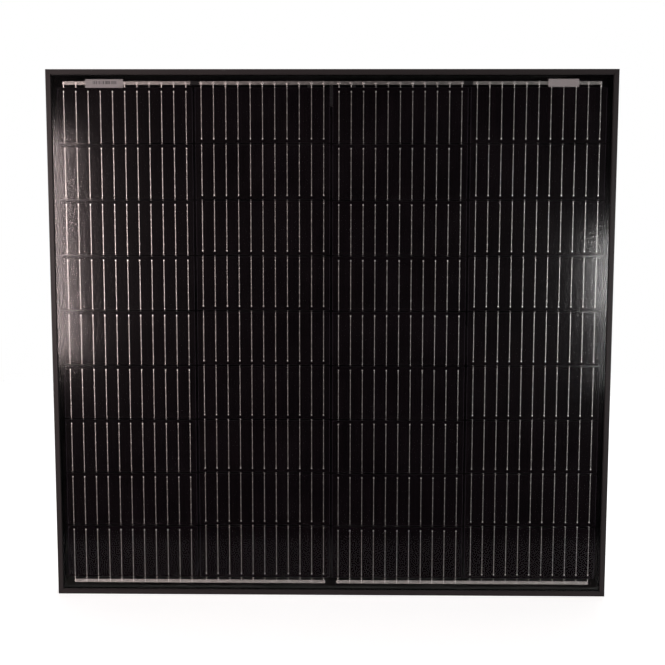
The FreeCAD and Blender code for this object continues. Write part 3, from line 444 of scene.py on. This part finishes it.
def solder(name, pads, finish):
    """One piece for all the solder pads, each given as (x, z, width, height, back)."""
    mesh = bmesh.new()
    for pad in pads:
        solder_pad(mesh, *pad)
    bmesh.ops.recalc_face_normals(mesh, faces=mesh.faces)
    data = bpy.data.meshes.new(name)
    mesh.to_mesh(data)
    mesh.free()
    piece = bpy.data.objects.new(name, data)
    bpy.context.collection.objects.link(piece)
    data.materials.append(finish)
    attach(piece, "panel")


bus_z = sum(corner.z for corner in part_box("busbar_top_left")) / 2
for string in STRINGS:
    low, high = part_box(f"cells_string_{string}")
    ribbons_low, ribbons_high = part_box(f"ribbons_string_{string}")
    first = ribbons_low.x + RIBBON_WIDTH / 2
    pitch = (ribbons_high.x - ribbons_low.x - RIBBON_WIDTH) / (RIBBONS - 1)
    columns = [first + pitch * i for i in range(RIBBONS)]
    # Every other string is turned over, so its dots start from the bottom
    turned = string % 2 == 0
    starts = [DOT_FROM_CELL_EDGE + row * ROW_PITCH for row in range(ROWS)]
    heights = [low.z + start if turned else high.z - start for start in starts]
    end_pads = [(x, z, *END_DOT, low.y) for x in columns for z in heights]
    bus_pads = [(x, bus_z, *BUS_DOT, low.y) for x in columns]
    solder(f"solder_string_{string}", end_pads, finishes["end_dot"])
    solder(f"solder_busbar_{string}", bus_pads, finishes["bus_dot"])


# ---------------------------------------------------------------- floor and world
def plane(name, corners, finish):
    data = bpy.data.meshes.new(name)
    data.from_pydata(corners, [], [(0, 1, 2, 3)])
    data.materials.append(finish)
    made = bpy.data.objects.new(name, data)
    bpy.context.collection.objects.link(made)
    return made


floor_z = cad_box[0].z
plane("floor", [(-FLOOR_HALF, FLOOR_FRONT, floor_z), (FLOOR_HALF, FLOOR_FRONT, floor_z),
                         (FLOOR_HALF, FLOOR_BACK, floor_z), (-FLOOR_HALF, FLOOR_BACK, floor_z)], pale_floor())

# The backdrop is white where the camera looks at it, and the room round the lights is dim.
world = bpy.data.worlds.new("studio")
world.use_nodes = True
bpy.context.scene.world = world
tree = world.node_tree
background = tree.nodes["Background"]
seen = tree.nodes.new("ShaderNodeLightPath").outputs["Is Camera Ray"]
strength = tree.nodes.new("ShaderNodeMapRange")
strength.inputs["To Min"].default_value = ROOM_LIGHT
strength.inputs["To Max"].default_value = 1.0
tree.links.new(seen, strength.inputs["Value"])
tree.links.new(strength.outputs[0], background.inputs["Strength"])
background.inputs["Color"].default_value = (*WHITE, 1.0)


# ---------------------------------------------------------------- softboxes
def softbox(name, place, aim, width, height, radiance, colour, roll=0.0):
    """A rectangular softbox. Its radiance is how bright its face is, so its size doesn't change that."""
    data = bpy.data.lights.new(name, "AREA")
    data.shape = "RECTANGLE"
    data.size, data.size_y = width, height
    # An area lamp's power is its radiance times its area times pi
    data.energy = radiance * width * height * math.pi
    data.color = colour
    made = bpy.data.objects.new(name, data)
    made.location = place
    made.rotation_mode = "QUATERNION"
    facing = (Vector(aim) - Vector(place)).to_track_quat("-Z", "Y")
    made.rotation_quaternion = facing @ Quaternion((0.0, 0.0, 1.0), math.radians(roll))
    made.visible_camera = False
    bpy.context.collection.objects.link(made)


# The three at the front stand where the glass mirrors them to the camera, near its left and right edges
softbox("softbox_left", (-1.081, -2.0, 0.137), (-0.30, 0.0, 0.137), 0.25, 0.80, 37.0, (1.0, 0.82, 0.81), 1.2)
softbox("softbox_right", (1.056, -2.0, 0.04), (0.30, 0.0, 0.04), 0.28, 0.28, 36.0, NEAR_WHITE)
softbox("softbox_right_lower", (1.056, -2.0, -0.225), (0.30, 0.0, -0.225), 0.28, 0.25, 9.0, NEAR_WHITE)
softbox("softbox_above", (0.0, 0.25, 2.1), (0.0, 0.25, 0.0), 2.6, 2.4, 1.6, (1.0, 0.98, 0.97))
softbox("softbox_behind", (0.6, 2.4, 1.5), (0.0, 0.0, 0.0), 1.4, 1.2, 5.0, WHITE)

# ---------------------------------------------------------------- camera
LENS = 48.72
SENSOR = 36.0
camera_data = bpy.data.cameras.new("camera")
camera_data.lens = LENS
camera_data.sensor_width = SENSOR
camera = bpy.data.objects.new("camera", camera_data)
bpy.context.collection.objects.link(camera)
camera_place = Vector((0.01478, -1.25604, 0.11746))
camera_right = Vector((0.99994, 0.01053, 0.00161))
camera_up = Vector((-0.00253, 0.08831, 0.99610))
camera_back = camera_right.cross(camera_up)
camera_turn = Matrix((camera_right, camera_up, camera_back)).transposed().to_4x4()
camera.matrix_world = Matrix.Translation(camera_place) @ camera_turn
bpy.context.scene.camera = camera
bpy.context.scene.view_settings.view_transform = "Standard"
